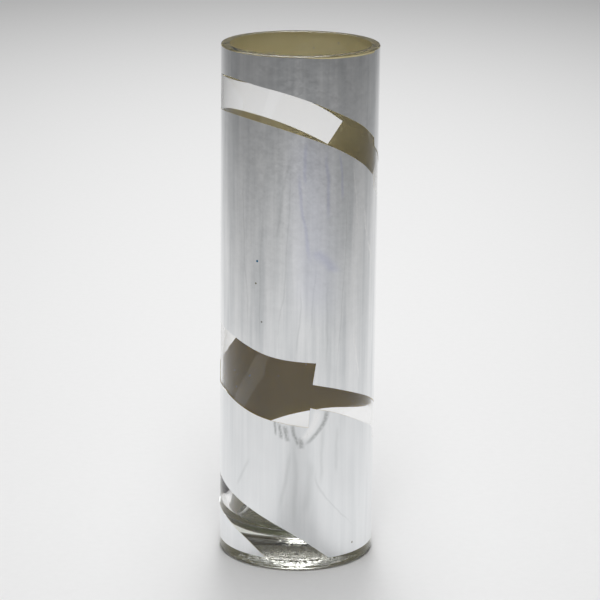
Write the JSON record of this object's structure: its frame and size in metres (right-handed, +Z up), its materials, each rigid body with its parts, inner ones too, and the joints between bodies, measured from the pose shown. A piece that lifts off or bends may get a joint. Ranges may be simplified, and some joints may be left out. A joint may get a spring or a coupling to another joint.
{
  "type": "glass cylinder vase",
  "caption": "Tall clear glass cylinder vase with a thick base, silvered outside over khaki lacquer, with a bare spiral ribbon left by hand-laid masking tape.",
  "frame": {"origin": "centre of the resting ring under the base", "axes": "+Z up along the vase's axis towards its mouth; -Y is the side with the wide patch of bare glass at mid height"},
  "size_m": [0.0908, 0.0908, 0.3],
  "materials": {
    "clear_glass": "clear, faintly green-grey, polished",
    "khaki_lacquer": "matt",
    "mirror_silver": "bright mirror, slightly streaked"
  },
  "bodies": {
    "root": {"glass_body": "clear_glass", "base_coat": "khaki_lacquer", "mirror_coat": "mirror_silver"}
  },
  "joints": []
}
